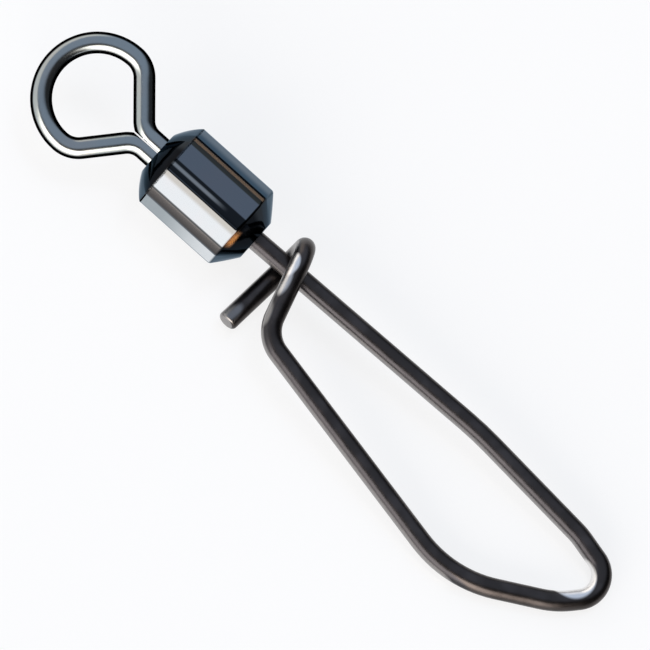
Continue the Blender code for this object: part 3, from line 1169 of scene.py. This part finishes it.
@dataclass
class HookSnap(BentWire):
    """The snap's one wire: long leg, nose, front leg, heel, return leg, hook and finger tail."""

    name: str = "bent_hook_snap"
    node: str = "hook_snap"
    body: str = "hook_snap"
    slot: str = "snap_plating"
    plating: Plating = SNAP_PLATING
    wire: float = 1.19 * MM
    face_x: float = 3.76 * MM
    head_radius: float = 1.145 * MM
    bow_at: float = 20.5 * MM
    bow_angle: float = math.radians(1.0)
    bow_bend_radius: float = 20.0 * MM
    ramp_angle: float = math.radians(4.2)
    ramp_end: float = 28.6 * MM
    ramp_bend_radius: float = 4.0 * MM
    lead_angle: float = math.radians(13.6)
    reach: float = 31.96 * MM
    nose_radius: float = 1.5 * MM
    nose_end_angle: float = math.radians(49.0)
    nose_end_reach: float = 1.4 * MM
    front_bend_radius: float = 5.5 * MM
    front_leg_angle: float = math.radians(30.2)
    heel_radius: float = 7.2 * MM
    return_angle: float = math.radians(11.1)
    elbow_at: float = 7.8 * MM
    elbow_drop: float = 3.96 * MM
    elbow_radius: float = 2.0 * MM
    elbow_lift: float = 0.45 * MM
    hook_at: float = 6.1 * MM
    hook_gap: float = 0.24 * MM
    hook_shift: float = 0.05 * MM
    tail_drop: float = 4.47 * MM
    tail_slant: float = math.radians(4.4)
    tail_set_back: float = 1.05 * MM
    tail_edge: float = 0.2 * MM
    tail_steps: int = 6
    # The side painted lighter, a painted reflection of the pale floor, and the range over which it
    # fades in
    sheen_towards: Direction = (-1.0, -1.0, 0.0)
    sheen_from: float = 0.3
    sheen_to: float = 0.6
    least_level: float = 1e-6

    @property
    def hook_radius(self) -> float:
        """The radius of the hook's two bends round the long leg."""
        return self.wire + self.hook_gap

    def loop_corners(self) -> list[Corner]:
        """Lists the loop's corners from the long leg's bow to the elbow.

        Returns:
            The corners.
        """
        origin = point(0.0)
        upright = math.pi / 2
        bow = crossing(origin, self.bow_angle, point(self.bow_at), upright)
        ramp_end = crossing(bow, -self.ramp_angle, point(self.ramp_end), upright)
        nose_x = self.reach - self.wire / 2 - self.nose_radius
        above_nose = crossing(ramp_end, -self.lead_angle, point(nose_x), upright)
        nose = above_nose - point(0.0, self.nose_radius / math.cos(self.lead_angle))
        leaving = math.pi + self.nose_end_angle
        nose_end = nose + unit(leaving + upright) * self.nose_radius
        nose_corner = crossing(ramp_end, -self.lead_angle, nose_end, leaving)
        front_bend = nose_end + unit(leaving) * self.nose_end_reach
        elbow = point(self.elbow_at, -self.elbow_drop)
        heel = crossing(front_bend, math.pi + self.front_leg_angle, elbow, -self.return_angle)
        elbow.z = self.elbow_lift
        return [
            Corner(bow, self.bow_bend_radius),
            Corner(ramp_end, self.ramp_bend_radius),
            Corner(nose_corner, self.nose_radius),
            Corner(front_bend, self.front_bend_radius),
            Corner(heel, self.heel_radius),
            Corner(elbow, self.elbow_radius),
        ]

    def tangent_slope(self, place: Vector, height: float, front: bool) -> float:
        """Finds how a stretch rises in z for each y so that it just clears the long leg.

        Args:
            place: The stretch's far end.
            height: The long leg's height in the loop's plane where the hook goes round it.
            front: Whether the stretch passes in front of the long leg.

        Returns:
            The rise of z for each y.
        """
        towards = Vector((height - place.y, -place.z))
        aside = math.asin(self.hook_radius / towards.length)
        return math.tan(math.atan2(towards.y, towards.x) + (aside if front else -aside))

    def hook_corners(self, elbow: Vector) -> tuple[list[Corner], Vector]:
        """Lists the hook's two corners over the long leg, and the tail's end.

        Args:
            elbow: The corner that the front crossing starts from.

        Returns:
            The corners, and the end of the tail.
        """
        leg_height = self.hook_at * math.tan(self.bow_angle)
        top = leg_height + self.hook_radius
        shift = self.hook_shift / 2
        tail_x = self.hook_at - shift - (top + self.tail_drop) * math.tan(self.tail_slant)
        tail = Vector((tail_x, -self.tail_drop, -self.tail_set_back))
        rise = self.tangent_slope(elbow, leg_height, front=True)
        fall = self.tangent_slope(tail, leg_height, front=False)
        front = Vector((self.hook_at + shift, top, elbow.z + (top - elbow.y) * rise))
        back = Vector((self.hook_at - shift, top, tail.z + (top - tail.y) * fall))
        return [Corner(front, self.hook_radius), Corner(back, self.hook_radius)], tail

    def round_tail(self, bench: Bench, along: Vector) -> None:
        """Rounds off the tail's sheared end.

        Args:
            bench: The piece in the making, with the tail's end face selected.
            along: The tail's direction.
        """
        radius = self.wire / 2
        start = bench.place.copy()
        for step in range(1, self.tail_steps + 1):
            angle = math.pi / 2 * step / self.tail_steps
            shrunk = self.wire / 2 - self.tail_edge * (1 - math.cos(angle))
            bench.push(start + along * self.tail_edge * math.sin(angle))
            bpy.ops.transform.resize(value=[shrunk / radius] * 3, center_override=bench.place)
            radius = shrunk

    def form(self) -> bpy.types.Object:
        """Forms the snap in the swivel's own frame, its loop flat in the plane z = 0.

        Returns:
            The snap.
        """
        bench = self.head(0.0)
        corners = self.loop_corners()
        hook, tail = self.hook_corners(corners[-1].place)
        along = (tail - hook[-1].place).normalized()
        bench.push(point(self.face_x - self.wall))
        bench.follow(bench.place, corners + hook, tail - along * self.tail_edge)
        self.round_tail(bench, along)
        piece = bench.close()
        # How far each place faces the side painted lighter, for the painted reflection
        sheen_share = piece.data.attributes.new(SHEEN_SIDE, "FLOAT", "POINT")
        sheen_share.data.foreach_set("value", [self.sheen_share(vert.normal) for vert in piece.data.vertices])
        return piece

    def sheen_share(self, normal: Vector) -> float:
        """Says how far a place on the wire faces the side that is painted lighter, a painted
        reflection.

        Args:
            normal: The way that the place faces, in the snap's own frame.

        Returns:
            1 where it faces that side, level with the loop's plane, and less elsewhere, down to 0.
        """
        level = Vector((normal.x, normal.y, 0.0))
        if level.length < self.least_level:
            return 0.0
        facing = level.normalized().dot(Vector(self.sheen_towards).normalized())
        share = (facing - self.sheen_from) / (self.sheen_to - self.sheen_from)
        return level.length * min(1.0, max(0.0, share))


@dataclass
class Studio:
    """The floor, the soft light and the camera.

    The sky is one: a long low window, bare in the middle and curtained beyond, a dim patch
    overhead, and dark between. Each part's edge is given in degrees from its middle, or from the
    level for the window's top, as where it starts and where it is full.
    """

    floor_size: float = 60.0
    floor_colour: Colour = (0.93, 0.93, 0.93)
    floor_glow: float = 0.78
    floor_roughness: float = 0.25
    dark: Colour = (0.045, 0.047, 0.052)
    sky: Colour = (0.53, 0.62, 0.78)
    sky_towards: Direction = (-0.45, 0.25, 0.86)
    sky_edge: Fade = (66.0, 46.0)
    window: Colour = (6.3, 5.75, 5.25)
    window_towards: Direction = (0.32, -1.0, 0.0)
    window_edge: Fade = (50.0, 24.0)
    window_top: Fade = (40.0, 33.0)
    curtain: Colour = (1.5, 1.45, 1.4)
    curtain_towards: Direction = (-1.19, -1.0, 0.0)
    curtain_edge: Fade = (103.0, 85.0)
    camera_tilt: float = math.radians(22.5)
    camera_roll: float = math.radians(41.8)
    lens: float = 600.0
    clip_shares: Fade = (0.01, 1000.0)
    axis_pixel: tuple[float, float] = (206.3, 196.2)

    def directions(self) -> tuple[Vector, Vector, Vector]:
        """Works out the camera's own directions.

        Returns:
            Its right, its down, and the way from the swivel to it.
        """
        laid = Swivel.laid().to_3x3()
        tilt, roll = self.camera_tilt, self.camera_roll
        along = laid @ Vector((1.0, 0.0, 0.0))
        down = laid @ Vector((0.0, -math.cos(tilt), -math.sin(tilt)))
        back = laid @ Vector((0.0, -math.sin(tilt), math.cos(tilt)))
        right = along * math.cos(roll) - down * math.sin(roll)
        return right, along * math.sin(roll) + down * math.cos(roll), back

    def place_camera(self) -> None:
        """Puts the camera where the photograph was taken from, a long way back."""
        right, down, back = self.directions()
        aside = (PHOTO_PIXELS / 2 - self.axis_pixel[0]) * PIXEL
        below = (PHOTO_PIXELS / 2 - self.axis_pixel[1]) * PIXEL
        target = Swivel.laid().translation + right * aside + down * below
        data = bpy.data.cameras.new("photo_camera")
        data.lens = self.lens
        distance = self.lens / data.sensor_width * PHOTO_PIXELS * PIXEL
        data.clip_start, data.clip_end = (distance * share for share in self.clip_shares)
        camera = bpy.data.objects.new("photo_camera", data)
        bpy.context.scene.collection.objects.link(camera)
        turned = Matrix((right, -down, back)).transposed().to_4x4()
        camera.matrix_world = Matrix.Translation(target + back * distance) @ turned
        bpy.context.scene.camera = camera

    def lay_floor(self) -> None:
        """Lays the pale floor that the swivel lies on."""
        bpy.ops.object.select_all(action="DESELECT")
        bpy.ops.mesh.primitive_plane_add(size=self.floor_size, location=(0.0, 0.0, 0.0))
        floor = bpy.context.object
        floor.name = "floor"
        material = bpy.data.materials.new("pale_floor")
        material.use_nodes = True
        wiring = Wiring(material.node_tree)
        shader = material.node_tree.nodes["Principled BSDF"]
        shader.inputs["Roughness"].default_value = self.floor_roughness
        path = wiring.node("ShaderNodeLightPath").outputs
        mirrored = wiring.math("MAXIMUM", path["Is Glossy Ray"], path["Is Transmission Ray"])
        seen = wiring.math("MAXIMUM", path["Is Camera Ray"], mirrored)
        glow = wiring.math("MULTIPLY", seen, self.floor_glow)
        shader.inputs["Emission Color"].default_value = (1.0, 1.0, 1.0, 1.0)
        wiring.feed(shader.inputs["Emission Strength"], glow)
        wiring.feed(shader.inputs["Base Color"], wiring.mix(glow, self.floor_colour, BLACK))
        floor.data.materials.append(material)

    def light(self) -> None:
        """Lights the swivel with the sky."""
        world = bpy.data.worlds.new("studio_sky")
        bpy.context.scene.world = world
        world.use_nodes = True
        wiring = Wiring(world.node_tree)
        where = wiring.node("ShaderNodeTexCoord").outputs["Generated"]
        patch = self.near(wiring, where, self.sky_towards, self.sky_edge)
        colour = wiring.mix(patch, self.dark, self.sky)

        top = (math.sin(math.radians(angle)) for angle in self.window_top)
        low = wiring.step(wiring.apart(where)[2], *top)
        level = wiring.vector("MULTIPLY", where, (1.0, 1.0, 0.0)).outputs["Vector"]
        level = wiring.vector("NORMALIZE", level).outputs["Vector"]
        beside = self.near(wiring, level, self.curtain_towards, self.curtain_edge)
        bare = self.near(wiring, level, self.window_towards, self.window_edge)
        window = wiring.mix(bare, self.curtain, self.window)
        colour = wiring.mix(wiring.math("MULTIPLY", low, beside), colour, window)
        wiring.feed(world.node_tree.nodes["Background"].inputs["Color"], colour)

    def near(self, wiring: Wiring, where: Output, middle: Direction, edge: Fade) -> Output:
        """Gives a mask of the directions that lie near a middle one.

        Args:
            wiring: The sky's wiring.
            where: The direction.
            middle: The middle direction.
            edge: The angles from it where the mask is 0 and 1, in degrees.

        Returns:
            The mask.
        """
        dot = wiring.vector("DOT_PRODUCT", where, Vector(middle).normalized())
        cosines = (math.cos(math.radians(angle)) for angle in edge)
        return wiring.step(dot.outputs["Value"], *cosines)

    def build(self) -> None:
        """Builds the whole studio."""
        self.place_camera()
        self.lay_floor()
        self.light()
        bpy.context.scene.view_settings.view_transform = "Standard"


def fit(part: Piece, roll: float) -> None:
    """Forms one piece, lays it down over its solid, dresses it and lets it ride.

    Args:
        part: The piece's own class.
        roll: How far it is rolled about the barrel's axis, in radians.
    """
    piece = part.form()
    lay = Swivel.laid() @ Matrix.Rotation(roll, 4, "X")
    piece.matrix_world = lay
    bpy.ops.object.select_all(action="DESELECT")
    piece.select_set(True)
    bpy.context.view_layer.objects.active = piece
    bpy.ops.object.transform_apply(location=True, rotation=True, scale=True)
    piece.data.materials.clear()
    piece.data.materials.append(part.plating.material(lay))
    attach(piece, part.body)
    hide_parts(part.node)
    faces, turned = len(piece.data.polygons), math.degrees(roll)
    log.info("%s: %d faces, rolled %.2f degrees", part.name, faces, turned)


def main() -> None:
    """Builds the swivel and its studio."""
    logging.basicConfig(level=logging.INFO, format="%(relativeCreated)6d ms  %(message)s")
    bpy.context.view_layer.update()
    eye_roll, snap_roll = Swivel.roll("line_eye"), Swivel.roll("hook_snap")
    fit(Barrel(), 0.0)
    fit(LineEye(), eye_roll)
    fit(HookSnap(), snap_roll)
    Studio().build()


if __name__ == "__main__":
    main()
